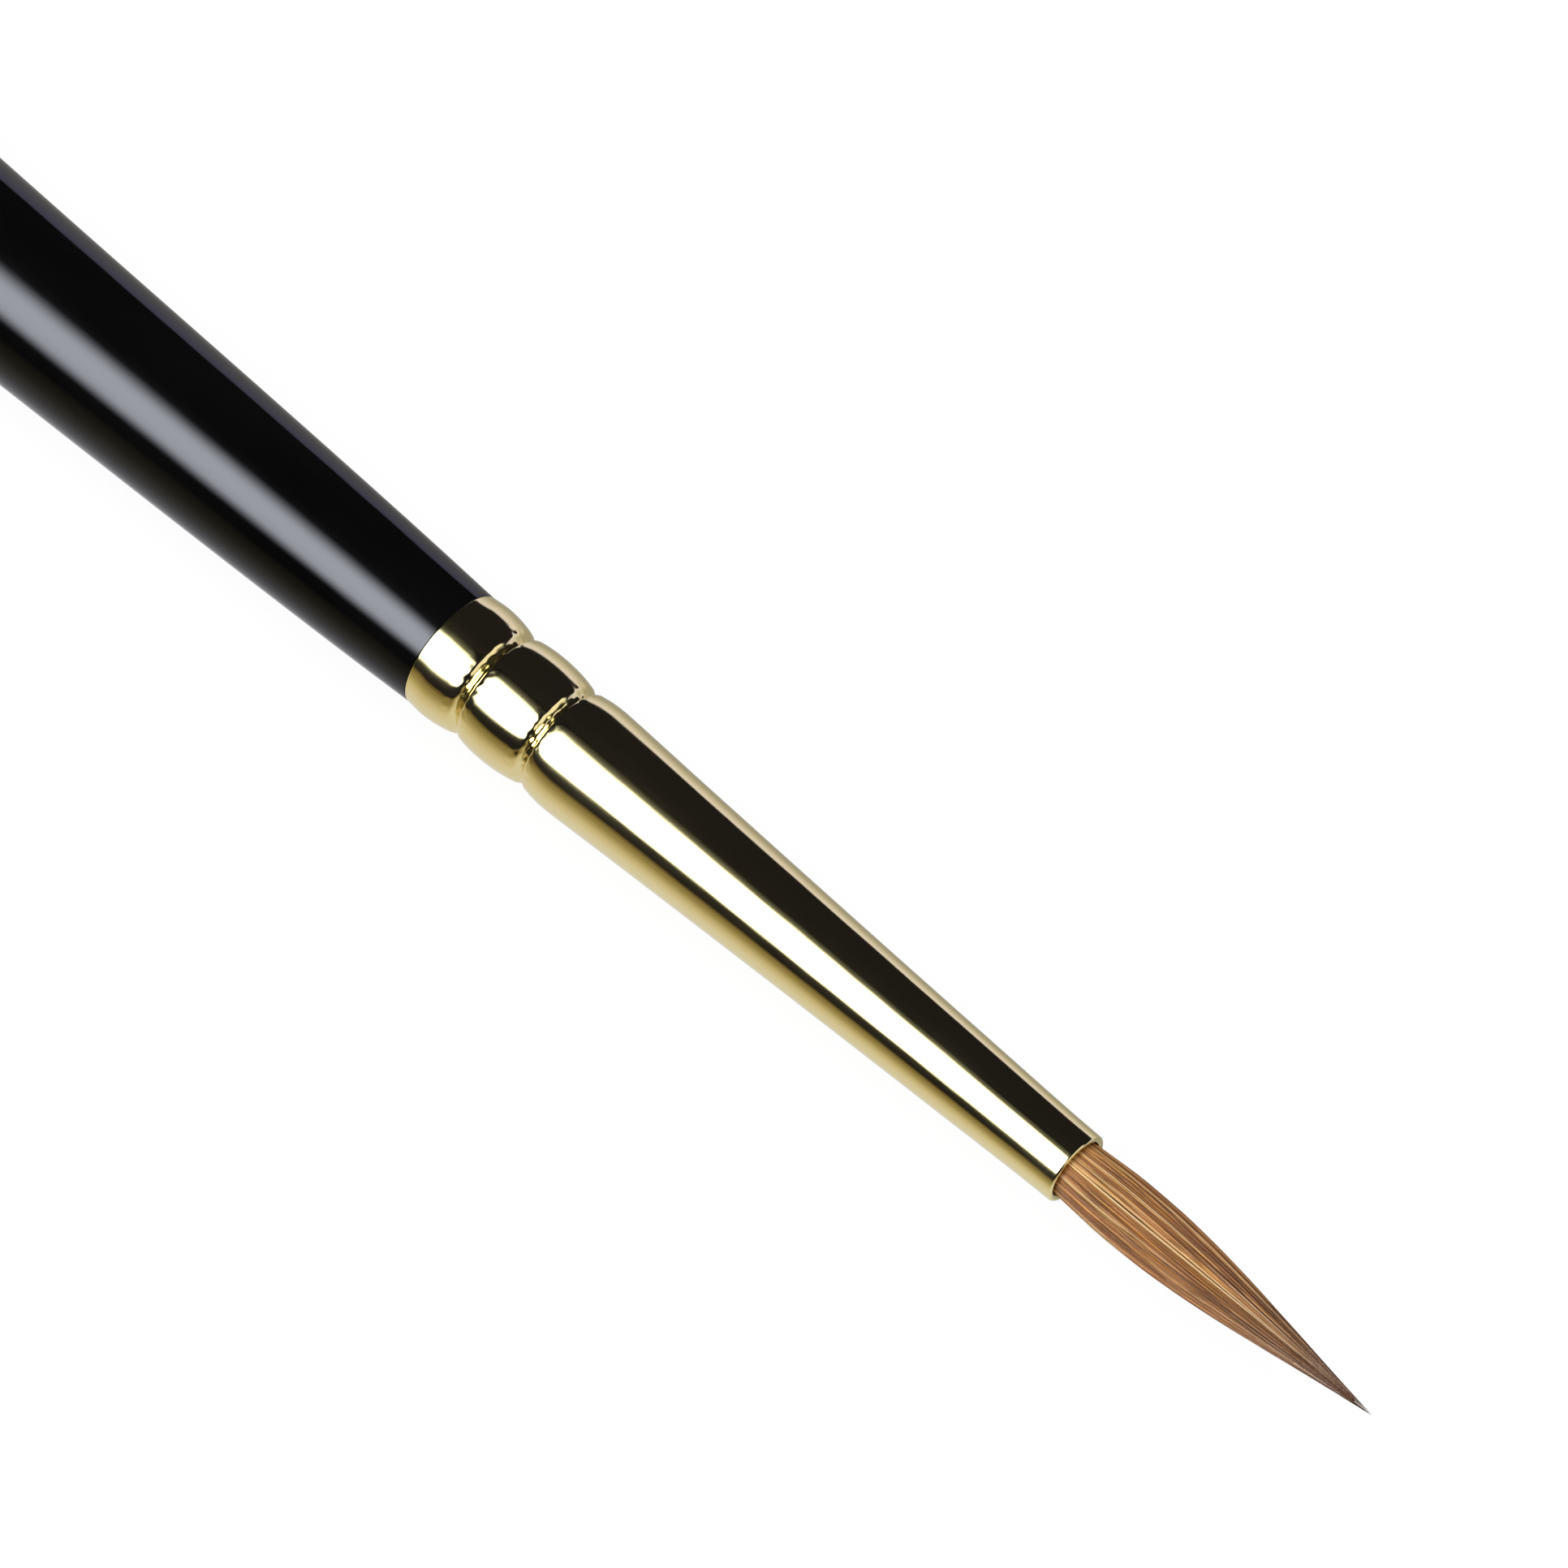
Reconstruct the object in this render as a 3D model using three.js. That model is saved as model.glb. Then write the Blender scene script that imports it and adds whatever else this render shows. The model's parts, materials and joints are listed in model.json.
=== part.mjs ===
// A small round sable detail brush, lying on a table with its tip towards +X.
// Millimetres, +Z up. Every piece but the thread is a solid of revolution about the brush's own axis,
// made by turning an outline of [station, radius] points. A station is a distance along the axis,
// measured from the ferrule's mouth: positive towards the hair tip, negative towards the handle's tail.
import * as THREE from 'three';

// ---- driving dimensions -------------------------------------------------------------------------
const FACETS = 24; // flats round every turned piece; one of them faces down

const FERRULE_LENGTH = 24.4;
const FERRULE_WALL = 0.21;
const MOUTH_RADIUS = 1.15;
const JUNCTION_RADIUS = 1.925; // ferrule and lacquered handle are flush where they meet
const CRIMPS = [
  { station: -22.65, depth: 0.33 },
  { station: -20.16, depth: 0.315 },
];
const BEAD_HALF = 1.25; // from the bottom of a crimp to the crown of the bead beside it
const CRIMP_SOFTNESS = 0.05; // rounding at the bottom of a crimp
const CRIMPED_END = -19; // plain taper from here to the mouth

const HANDLE_LENGTH = 142; // from the ferrule's back edge to the tail
const BELLY_BACK = 40; // from the ferrule's back edge to the thickest place
const BELLY_RADIUS = 2.93;
const BELLY_FLAT = 7; // straight stretch behind the belly, which the brush balances on
const BELLY_FLAT_END_RADIUS = 2.88;
const TAIL_RADIUS = 1.55;
const TAIL_ROUND = 1.1; // length of the rounded end
const TAIL_FLAT_RADIUS = 0.8;
const LACQUER = 0.12; // thickness of the lacquer coat
const TENON_LENGTH = 10;

const FIT = 0.02; // clearance between nested pieces
const GLUE = 0.08; // thickness of the glue round the tenon
const PLUG_LENGTH = 2.8; // solid glue behind the hair roots
const GLUE_CLIMB = 4; // how far the glue climbs round the hair roots

const HAIR_OUT = 11.25; // free length of the tuft
const HAIR_ROOT = 7.5; // length of bound hair inside the ferrule
const HAIR_RADIUS = 0.92; // hair bundle at the ferrule's mouth
const BUTT_RADIUS = 0.8; // bound hair under the thread
const BEND_STATION = 2; // where the tuft bends
const TUFT_BALL = 1; // radius of the tuft's rounded back, centred on its bend
const ROOT_FRONT = 0.9; // the still end of the hair stands this far out of the mouth

const THREAD_RADIUS = 0.07;
const THREAD_TURNS = 5;
const THREAD_PITCH = 0.17;
const THREAD_START = -6.9;

const JUNCTION = -FERRULE_LENGTH;
const TAIL = JUNCTION - HANDLE_LENGTH;
const BELLY = JUNCTION - BELLY_BACK;
const PLUG_BACK = -HAIR_ROOT - FIT - PLUG_LENGTH;
const THREAD_END = THREAD_START + THREAD_TURNS * THREAD_PITCH;

// The handle lies on its belly flat, which lifts the tip and lowers the tail a little.
const REST_TILT = Math.atan2(BELLY_RADIUS - BELLY_FLAT_END_RADIUS, BELLY_FLAT);

// ---- helpers ------------------------------------------------------------------------------------

// Radius as a function of station: a monotone cubic through the given points, which never bulges past
// them. Each tangent is the harmonic mean of the slopes on its two sides.
function smoothRadius(points) {
  const slope = (i) => (points[i + 1][1] - points[i][1]) / (points[i + 1][0] - points[i][0]);
  const tangents = points.map((_, i) => {
    if (i === 0) return slope(0);
    if (i === points.length - 1) return slope(i - 1);
    const [before, after] = [slope(i - 1), slope(i)];
    return before * after <= 0 ? 0 : (2 * before * after) / (before + after);
  });
  return (station) => {
    const next = points.findIndex(([end], i) => i > 0 && station <= end);
    const i = next < 0 ? points.length - 2 : next - 1;
    const [[start, low], [end, high]] = [points[i], points[i + 1]];
    const t = (station - start) / (end - start);
    const rise = high - low;
    const leaving = (tangents[i] * (end - start) - rise) * (1 - t);
    const arriving = (rise - tangents[i + 1] * (end - start)) * t;
    return low + rise * t + t * (1 - t) * (leaving + arriving);
  };
}

// Evenly spaced stations from first to last, no further apart than step.
function stationsBetween(first, last, step) {
  const count = Math.ceil(Math.abs(last - first) / step);
  return Array.from({ length: count + 1 }, (_, i) => first + ((last - first) * i) / count);
}

// Points of an elliptical arc about (station, radius), with angles in degrees from the tip's direction.
function arc(station, radius, halfLength, halfHeight, fromAngle, toAngle, steps) {
  return Array.from({ length: steps + 1 }, (_, i) => {
    const angle = THREE.MathUtils.degToRad(fromAngle + ((toAngle - fromAngle) * i) / steps);
    return [station + halfLength * Math.cos(angle), radius + halfHeight * Math.sin(angle)];
  });
}

// Solid made by turning an outline about the X axis, with a flat facing down. The outline's outside
// runs from tail to tip, and it either starts and ends on the axis or closes on itself.
function turned(outline) {
  const points = outline.map(([station, radius]) => new THREE.Vector2(radius, station));
  return new THREE.LatheGeometry(points, FACETS).rotateZ(-Math.PI / 2).rotateX(Math.PI / FACETS);
}

// Solid between an outside and an inside outline that both run from tail to tip.
function tube(outside, inside) {
  return turned([...outside, ...inside.toReversed(), outside[0]]);
}

function piece(name, geometry, color, roughness, metalness) {
  const mesh = new THREE.Mesh(geometry, new THREE.MeshStandardMaterial({ color, roughness, metalness }));
  mesh.name = name;
  return mesh;
}

// ---- shapes that several pieces share -----------------------------------------------------------

// Ferrule before crimping: flush with the handle, a slight first bead, then the long taper.
const ferruleTaper = smoothRadius([
  [JUNCTION, JUNCTION_RADIUS],
  [JUNCTION + 0.6, 1.97],
  [-21.5, 1.89],
  [CRIMPED_END, 1.81],
  [-16, 1.685],
  [-10, 1.457],
  [-4, 1.256],
  [-0.8, 1.16],
  [0, MOUTH_RADIUS],
]);

// A crimp is a narrow groove rolled round the ferrule. The wall swells from it to a rounded bead on
// each side, on a curve between a parabola and an ellipse.
function crimpDepth(station) {
  const depths = CRIMPS.map((crimp) => {
    const away = Math.hypot(station - crimp.station, CRIMP_SOFTNESS) / BEAD_HALF;
    const toCrown = 1 - Math.min(away, 1);
    return crimp.depth * (1 - (1 - toCrown ** 2) ** 0.65);
  });
  return Math.max(...depths);
}

const ferruleRadius = (station) => ferruleTaper(station) - crimpDepth(station);
const boreRadius = (station) => ferruleRadius(station) - FERRULE_WALL;

// Lacquered handle: a quick swell behind the ferrule, the belly, then a long slim taper.
const handleRadius = smoothRadius([
  [TAIL, TAIL_RADIUS],
  [JUNCTION - 115, 1.82],
  [JUNCTION - 85, 2.24],
  [JUNCTION - 60, 2.66],
  [BELLY - BELLY_FLAT, BELLY_FLAT_END_RADIUS],
  [BELLY, BELLY_RADIUS],
  [JUNCTION - 28, 2.81],
  [JUNCTION - 15.4, 2.463],
  [JUNCTION - 7.8, 2.237],
  [JUNCTION - 2.9, 2.06],
  [JUNCTION, JUNCTION_RADIUS],
]);

// Free hair: swells a little past the mouth, then draws in on a long curve to the point.
const tuftRadius = smoothRadius([
  [0, HAIR_RADIUS],
  [1.9, 1.011],
  [3.1, 0.991],
  [4.3, 0.916],
  [5.5, 0.797],
  [7.3, 0.56],
  [9.1, 0.304],
  [HAIR_OUT, 0],
]);

// Bound hair inside the ferrule: a straight bundle, squeezed where the thread ties it.
const rootRadius = smoothRadius([
  [-HAIR_ROOT, BUTT_RADIUS + 0.04],
  [THREAD_START, BUTT_RADIUS],
  [THREAD_END, BUTT_RADIUS],
  [-4, HAIR_RADIUS],
  [0, HAIR_RADIUS],
]);

// Close together over the beads and crimps, and wide on the plain taper.
const crimpStations = [
  ...stationsBetween(JUNCTION, CRIMPS[0].station, 0.25),
  ...stationsBetween(CRIMPS[0].station, CRIMPS[1].station, 0.25).slice(1),
  ...stationsBetween(CRIMPS[1].station, CRIMPED_END, 0.25).slice(1),
];
const taperStations = stationsBetween(CRIMPED_END, -0.8, 4.6).slice(1);
const tenonStations = [...crimpStations, JUNCTION + TENON_LENGTH];

// Handle's outline from the tail to the ferrule, shrunk by a skin's thickness.
function handleOutline(skin) {
  const end = arc(
    TAIL + skin + TAIL_ROUND, TAIL_FLAT_RADIUS - skin,
    TAIL_ROUND, TAIL_RADIUS - TAIL_FLAT_RADIUS, 180, 90, 5,
  );
  const body = stationsBetween(TAIL + 2 * TAIL_ROUND, BELLY - BELLY_FLAT, 9.4);
  const belly = stationsBetween(BELLY, JUNCTION - FIT, 4.4);
  const sides = [...body, ...belly].map((station) => [station, handleRadius(station) - skin]);
  return [[TAIL + skin, 0], ...end, ...sides];
}

// ---- pieces -------------------------------------------------------------------------------------

function ferrule() {
  const stations = [...crimpStations, ...taperStations];
  const outside = stations.map((station) => [station, ferruleRadius(station)]);
  const inside = stations.map((station) => [station, boreRadius(station)]);
  const halfWall = FERRULE_WALL / 2;
  const lip = arc(-halfWall, MOUTH_RADIUS - halfWall, halfWall, halfWall, 90, -90, 6);
  return piece('ferrule', tube([...outside, ...lip], inside), 0xd9bd6b, 0.12, 1);
}

// Turned wood, with the tenon that fills the back of the ferrule and takes both crimps.
function handleCore() {
  const tenonRadius = (station) => boreRadius(station) - GLUE - 2 * FIT;
  const tenon = tenonStations.map((station) => [station, tenonRadius(station)]);
  const outline = [...handleOutline(LACQUER + FIT), ...tenon, [JUNCTION + TENON_LENGTH, 0]];
  return piece('handle_core', turned(outline), 0xc99f69, 0.75, 0);
}

// Dipped coat that closes over the tail and stops at the ferrule.
function handleLacquer() {
  const outline = [...handleOutline(0), ...handleOutline(LACQUER).toReversed()];
  return piece('handle_lacquer', turned(outline), 0x0b0b0c, 0.1, 0);
}

function tenonAdhesive() {
  const outside = tenonStations.map((station) => [station, boreRadius(station) - FIT]);
  const inside = outside.map(([station, radius]) => [station, radius - GLUE]);
  return piece('tenon_adhesive', tube(outside, inside), 0xd8cfae, 0.5, 0);
}

// Cast plug behind the hair roots, with a collar that climbs round the roots and the thread.
function rootAdhesive() {
  const collarEnd = -HAIR_ROOT + GLUE_CLIMB;
  const overThread = BUTT_RADIUS + 2 * THREAD_RADIUS + 2 * FIT;
  const pastThread = THREAD_END + THREAD_PITCH;
  const outline = [
    [PLUG_BACK, 0],
    [PLUG_BACK, boreRadius(PLUG_BACK) - FIT],
    [collarEnd, boreRadius(collarEnd) - FIT],
    [collarEnd, HAIR_RADIUS + FIT],
    [pastThread + THREAD_PITCH, HAIR_RADIUS + FIT],
    [pastThread, overThread],
    [-HAIR_ROOT - FIT, overThread],
    [-HAIR_ROOT - FIT, 0],
  ];
  return piece('root_adhesive', turned(outline), 0xb98a45, 0.3, 0);
}

function tuftRoot() {
  const bound = [-HAIR_ROOT, THREAD_START, THREAD_END, -4, 0].map((x) => [x, rootRadius(x)]);
  const standing = [ROOT_FRONT / 2, ROOT_FRONT].map((x) => [x, tuftRadius(x)]);
  const outline = [[-HAIR_ROOT, 0], ...bound, ...standing, [ROOT_FRONT, 0]];
  return piece('tuft_root', turned(outline), 0x9a6230, 0.6, 0);
}

// The thread is a round cord wound as a helix about the squeezed end of the hair.
class WoundThread extends THREE.Curve {
  getPoint(t, target = new THREE.Vector3()) {
    const angle = 2 * Math.PI * THREAD_TURNS * t;
    const radius = BUTT_RADIUS + THREAD_RADIUS + FIT;
    const station = THREAD_START + THREAD_TURNS * THREAD_PITCH * t;
    return target.set(station, radius * Math.cos(angle), radius * Math.sin(angle));
  }
}

function bindingThread() {
  const section = new THREE.Shape().absarc(0, 0, THREAD_RADIUS, 0, 2 * Math.PI);
  const geometry = new THREE.ExtrudeGeometry(section, {
    extrudePath: new WoundThread(),
    steps: 20 * THREAD_TURNS,
    curveSegments: 3,
  });
  return piece('binding_thread', geometry, 0xe9e2cf, 0.8, 0);
}

// Free hair. Its back is a ball about the bend, so it turns there without touching the ferrule.
function tuft() {
  const ball = arc(BEND_STATION, 0, TUFT_BALL, TUFT_BALL, 180, 90, 6);
  const free = [3.1, 4.3, 5.5, 6.6, 7.8, 9.1, 10.2, HAIR_OUT];
  const sides = free.map((station) => [station, tuftRadius(station)]);
  return piece('tuft', turned([...ball, ...sides]), 0xb07840, 0.45, 0);
}

// ---- assembly -----------------------------------------------------------------------------------

const brush = new THREE.Group();
brush.add(
  handleCore(),
  handleLacquer(),
  ferrule(),
  tenonAdhesive(),
  rootAdhesive(),
  bindingThread(),
  tuftRoot(),
  tuft(),
);
brush.rotation.y = -REST_TILT;

// Origin under the middle of the brush, on the table.
brush.updateMatrixWorld(true);
const box = new THREE.Box3().setFromObject(brush, true);
brush.position.set(-(box.min.x + box.max.x) / 2, 0, -box.min.z);

export default brush;
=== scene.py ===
import json
import math

import bpy
import numpy as np
from mathutils import Matrix, Vector


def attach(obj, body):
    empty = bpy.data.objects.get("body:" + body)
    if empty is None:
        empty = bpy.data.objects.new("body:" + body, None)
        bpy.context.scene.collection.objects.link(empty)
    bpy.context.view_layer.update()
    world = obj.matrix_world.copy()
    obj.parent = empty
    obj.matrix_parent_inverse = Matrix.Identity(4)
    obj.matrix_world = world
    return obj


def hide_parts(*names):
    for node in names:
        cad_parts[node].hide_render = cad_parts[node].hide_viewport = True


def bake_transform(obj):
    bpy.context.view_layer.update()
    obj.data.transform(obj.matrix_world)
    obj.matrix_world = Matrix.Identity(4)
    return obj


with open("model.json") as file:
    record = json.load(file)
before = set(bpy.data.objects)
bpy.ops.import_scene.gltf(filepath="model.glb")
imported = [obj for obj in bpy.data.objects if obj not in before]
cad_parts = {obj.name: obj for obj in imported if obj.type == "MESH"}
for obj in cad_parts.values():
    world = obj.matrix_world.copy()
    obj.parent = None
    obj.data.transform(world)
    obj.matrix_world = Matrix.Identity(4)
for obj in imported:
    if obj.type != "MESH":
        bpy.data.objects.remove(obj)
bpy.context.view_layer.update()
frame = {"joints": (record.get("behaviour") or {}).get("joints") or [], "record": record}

# ---- driving dimensions, in millimetres ---------------------------------------------------------
MM = 0.001
JUNCTION = -24.4                     # where the ferrule meets the lacquered handle
TAIL = -166.4
FERRULE_WALL = 0.21
MOUTH_RADIUS = 1.15
CRIMPS = ((-22.65, 0.33), (-20.16, 0.315))    # station and depth
BEAD_HALF = 1.25
GROOVE_HALF = 0.21                   # the sharp groove at the bottom of each crimp
GROOVE_DEPTH = 0.1
CRIMPED_END = -19.0
BELLY = JUNCTION - 40
TAIL_RADIUS = 1.55
TAIL_ROUND = 1.1
TAIL_FLAT_RADIUS = 0.8
LACQUER = 0.12
TENON_LENGTH = 10.0
FIT = 0.02
GLUE = 0.08
HAIR_OUT = 11.25
HAIR_ROOT = 7.5
HAIR_RADIUS = 0.92
BUTT_RADIUS = 0.8
BEND_STATION = 2.0                   # the hinge stands this far past the mouth
THREAD_RADIUS = 0.07
THREAD_TURNS = 5
THREAD_PITCH = 0.17
THREAD_START = -6.9
THREAD_END = THREAD_START + THREAD_TURNS * THREAD_PITCH
PLUG_BACK = -HAIR_ROOT - FIT - 2.8
COLLAR_END = -HAIR_ROOT + 4          # the root glue reaches this far towards the mouth
LIP_START = -0.6                     # last station of the ferrule's wall before its rounded lip
EDGE_ROUND = 0.012                   # rounding of the thin edges at the junction
BEAD_ROUNDNESS = 0.65                # exponent of the beads' shoulders

# ---- the brush's own axes, from the frame -------------------------------------------------------
mounts = {mount["name"]: mount for mount in frame["record"]["mounts"]}
tail_centre = Vector(mounts["tail_rest"]["pos_m"])
bend_centre = Vector(frame["joints"][0]["pos_m"])
AXIS = (bend_centre - tail_centre).normalized()
SIDE = Vector((0, 1, 0))
TOP = AXIS.cross(SIDE)
MOUTH = bend_centre - AXIS * BEND_STATION * MM
BASIS = np.array([AXIS, SIDE, TOP])


def place(points):
    """Points as (station, side, top) in millimetres, moved into the row frame in metres."""
    return np.asarray(points, float) @ BASIS * MM + np.array(MOUTH)


# ---- outlines -----------------------------------------------------------------------------------
def smooth_radius(points):
    """Radius as a function of station: a monotone cubic through the points."""
    x, y = np.array(points, float).T
    slope = np.diff(y) / np.diff(x)
    before, after = slope[:-1], slope[1:]
    inner = np.where(before * after > 0, 2 * before * after / (before + after + 1e-30), 0)
    tangent = np.concatenate([slope[:1], inner, slope[-1:]])

    def radius(station):
        station = np.asarray(station, float)
        i = np.clip(np.searchsorted(x, station) - 1, 0, len(x) - 2)
        span = x[i + 1] - x[i]
        t = np.clip((station - x[i]) / span, 0, 1)
        rise = y[i + 1] - y[i]
        leaving = (tangent[i] * span - rise) * (1 - t)
        arriving = (rise - tangent[i + 1] * span) * t
        return y[i] + rise * t + t * (1 - t) * (leaving + arriving)

    return radius


ferrule_taper = smooth_radius([
    (JUNCTION, 1.925), (JUNCTION + 0.6, 1.97), (-21.5, 1.89), (CRIMPED_END, 1.81), (-16, 1.685),
    (-10, 1.457), (-4, 1.256), (-0.8, 1.16), (0, MOUTH_RADIUS),
])
handle_radius = smooth_radius([
    (TAIL, TAIL_RADIUS), (JUNCTION - 115, 1.82), (JUNCTION - 85, 2.24), (JUNCTION - 60, 2.66),
    (BELLY - 7, 2.88), (BELLY, 2.93), (JUNCTION - 28, 2.81), (JUNCTION - 15.4, 2.463),
    (JUNCTION - 7.8, 2.237), (JUNCTION - 2.9, 2.06), (JUNCTION, 1.925),
])
tuft_radius = smooth_radius([
    (0, HAIR_RADIUS), (1.9, 1.011), (3.1, 0.991), (4.3, 0.916), (5.5, 0.797), (7.3, 0.56),
    (9.1, 0.304), (HAIR_OUT, 0),
])
root_radius = smooth_radius([
    (-HAIR_ROOT, BUTT_RADIUS + 0.04), (THREAD_START, BUTT_RADIUS), (THREAD_END, BUTT_RADIUS),
    (-4, HAIR_RADIUS), (0, HAIR_RADIUS),
])


def crimp_depth(station):
    """How far the rolled crimps sink the ferrule: rounded beads with a sharp groove between them."""
    station = np.asarray(station, float)
    depth = np.zeros_like(station)
    for centre, deepest in CRIMPS:
        away = np.abs(station - centre)
        to_crown = 1 - np.minimum(away / BEAD_HALF, 1)
        rounding = (deepest - GROOVE_DEPTH) * (1 - (1 - to_crown ** 2) ** BEAD_ROUNDNESS)
        groove = GROOVE_DEPTH * (1 + np.cos(math.pi * np.minimum(away / GROOVE_HALF, 1))) / 2
        depth = np.maximum(depth, rounding + groove)
    return depth


def ferrule_radius(station):
    return ferrule_taper(station) - crimp_depth(station)


def bore_radius(station):
    return ferrule_radius(station) - FERRULE_WALL


def stations(first, last, step):
    """Evenly spaced stations from first to last, no more than step apart."""
    return np.linspace(first, last, max(2, math.ceil(abs(last - first) / step) + 1))


def arc(station, radius, half_length, half_height, start, end, steps):
    """Points of an elliptical arc about (station, radius). Angles are in degrees: 0 points to the tip
    and 90 points outward."""
    angle = np.radians(np.linspace(start, end, steps + 1))
    return list(zip(station + half_length * np.cos(angle), radius + half_height * np.sin(angle)))


def profile(radius, where, shrink=0.0):
    """Outline points at the stations where, on a radius function less shrink."""
    return [(s, r - shrink) for s, r in zip(where, radius(where))]


# ---- mesh making --------------------------------------------------------------------------------
STRAND_SHARP_ANGLE = 80              # hairs and plies have few sides, and are shaded round


def mesh_object(name, points, faces, sharp_angle=40):
    """Smooth-shaded object from points as place() takes them, sharp where it turns by more than
    sharp_angle degrees."""
    mesh = bpy.data.meshes.new(name)
    mesh.from_pydata(place(points).tolist(), [], faces)
    mesh.shade_smooth()
    mesh.set_sharp_from_angle(angle=math.radians(sharp_angle))
    obj = bpy.data.objects.new(name, mesh)
    bpy.context.scene.collection.objects.link(obj)
    return obj


def turned(name, outline, segments, dents=None):
    """Solid of revolution. The outline's outside runs from tail to tip, and it either starts and ends
    on the axis or closes on itself. dents(station, angle) is added to the radius, inside and out."""
    outline = np.array(outline, float)
    on_axis = outline[0, 1] == 0
    rings = outline[1:-1] if on_axis else outline
    angle = np.arange(segments) * 2 * math.pi / segments
    station = np.repeat(rings[:, :1], segments, 1)
    radius = np.repeat(rings[:, 1:], segments, 1)
    if dents:
        radius = radius + dents(station, angle[None, :])
    points = np.stack([station, radius * np.cos(angle), radius * np.sin(angle)], -1).reshape(-1, 3)
    count = len(rings)
    i, j = np.meshgrid(np.arange(count - 1 if on_axis else count), np.arange(segments), indexing="ij")
    after, beside = (i + 1) % count, (j + 1) % segments
    quads = np.stack([i * segments + j, i * segments + beside,
                      after * segments + beside, after * segments + j], -1).reshape(-1, 4).tolist()
    if on_axis:
        points = np.vstack([points, [[outline[0, 0], 0, 0], [outline[-1, 0], 0, 0]]])
        back, front = count * segments, count * segments + 1
        last = (count - 1) * segments
        for k in range(segments):
            beside = (k + 1) % segments
            quads.append([back, beside, k])
            quads.append([front, last + k, last + beside])
    return mesh_object(name, points, quads)


def tube_outline(outside, inside):
    """Closed outline of a sleeve, from two profiles that both run from tail to tip."""
    return list(outside) + list(inside)[::-1]


def tubes(name, centres, radii, sides):
    """One closed tapering tube per row of centres, shape (tube, ring, 3), with radii (tube, ring).
    Sections stand across the brush's axis. The last ring of each tube is its point."""
    count, rings = radii.shape
    angle = np.arange(sides) * 2 * math.pi / sides
    across = np.stack([np.zeros(sides), np.cos(angle), np.sin(angle)], -1)
    skin = centres[:, :-1, None, :] + radii[:, :-1, None, None] * across
    each = (rings - 1) * sides
    points = np.concatenate([skin.reshape(count, each, 3), centres[:, :1], centres[:, -1:]], 1)
    ring, side = np.meshgrid(np.arange(rings - 2), np.arange(sides), indexing="ij")
    beside = (side + 1) % sides
    quads = np.stack([ring * sides + side, ring * sides + beside,
                      (ring + 1) * sides + beside, (ring + 1) * sides + side], -1).reshape(-1, 4)
    k = np.arange(sides)
    turn = (k + 1) % sides
    back = np.stack([np.full(sides, each), turn, k], -1)
    front = np.stack([np.full(sides, each + 1), (rings - 2) * sides + k, (rings - 2) * sides + turn], -1)
    faces = []
    for n in range(count):
        start = n * (each + 2)
        faces += (quads + start).tolist() + (back + start).tolist() + (front + start).tolist()
    return mesh_object(name, points.reshape(-1, 3), faces, STRAND_SHARP_ANGLE)


# ---- materials ----------------------------------------------------------------------------------
class Look:
    """A principled material and short ways to add procedural detail to it."""

    def __init__(self, name, **sockets):
        self.material = bpy.data.materials.new(name)
        self.material.use_nodes = True
        self.tree = self.material.node_tree
        self.shader = self.tree.nodes["Principled BSDF"]
        for socket, value in sockets.items():
            self.shader.inputs[socket.replace("_", " ")].default_value = value

    def node(self, kind, inputs=None, **settings):
        node = self.tree.nodes.new(kind)
        for key, value in settings.items():
            setattr(node, key, value)
        for key, value in (inputs or {}).items():
            if isinstance(value, bpy.types.NodeSocket):
                self.tree.links.new(value, node.inputs[key])
            else:
                node.inputs[key].default_value = value
        return node

    def noise(self, size, stretch=1.0, detail=3.0, roughness=0.5):
        """Noise with features of the given size in millimetres, stretched along the brush."""
        coordinates = self.node("ShaderNodeTexCoord").outputs["Object"]
        scale = 1 / (size * MM)
        mapped = self.node("ShaderNodeMapping", {"Vector": coordinates,
                                                 "Scale": (scale / stretch, scale, scale)})
        made = self.node("ShaderNodeTexNoise", {"Vector": mapped.outputs[0], "Scale": 1.0,
                                                "Detail": detail, "Roughness": roughness})
        return made.outputs["Fac"]

    def ramp(self, value, stops):
        """Colour ramp: stops are (position, colour)."""
        node = self.node("ShaderNodeValToRGB", {"Fac": value})
        elements = node.color_ramp.elements
        while len(elements) < len(stops):
            elements.new(0.5)
        for element, (position, colour) in zip(elements, stops):
            element.position = position
            element.color = (*colour, 1)
        return node.outputs["Color"]

    def spread(self, value, low, high, start=0.3, end=0.7):
        """Value from start to end, mapped to low to high."""
        node = self.node("ShaderNodeMapRange", {"Value": value, "From Min": start, "From Max": end,
                                                "To Min": low, "To Max": high})
        return node.outputs[0]

    def mix(self, factor, first, second, blend="MIX"):
        """Two colours mixed: factor 0 gives the first. Each of the three can be a socket."""
        node = self.node("ShaderNodeMix", data_type="RGBA", blend_type=blend)
        for socket, value in ((0, factor), (6, first), (7, second)):
            if isinstance(value, bpy.types.NodeSocket):
                self.tree.links.new(value, node.inputs[socket])
            else:
                node.inputs[socket].default_value = value if socket == 0 else (*value, 1)
        return node.outputs[2]

    def set(self, socket, value):
        """Link a value to one of the shader's sockets."""
        self.tree.links.new(value, self.shader.inputs[socket])

    def bump(self, height, depth, under=None):
        """Bump of the given depth in millimetres, over an earlier one if under is given."""
        inputs = {"Height": height, "Distance": depth * MM, "Strength": 1.0}
        if under is not None:
            inputs["Normal"] = under
        return self.node("ShaderNodeBump", inputs).outputs["Normal"]


def multiply(look, *values):
    """Product of the values, the first of which is a socket."""
    total = values[0]
    for value in values[1:]:
        total = look.node("ShaderNodeMath", {0: total, 1: value}, operation="MULTIPLY").outputs[0]
    return total


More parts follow.
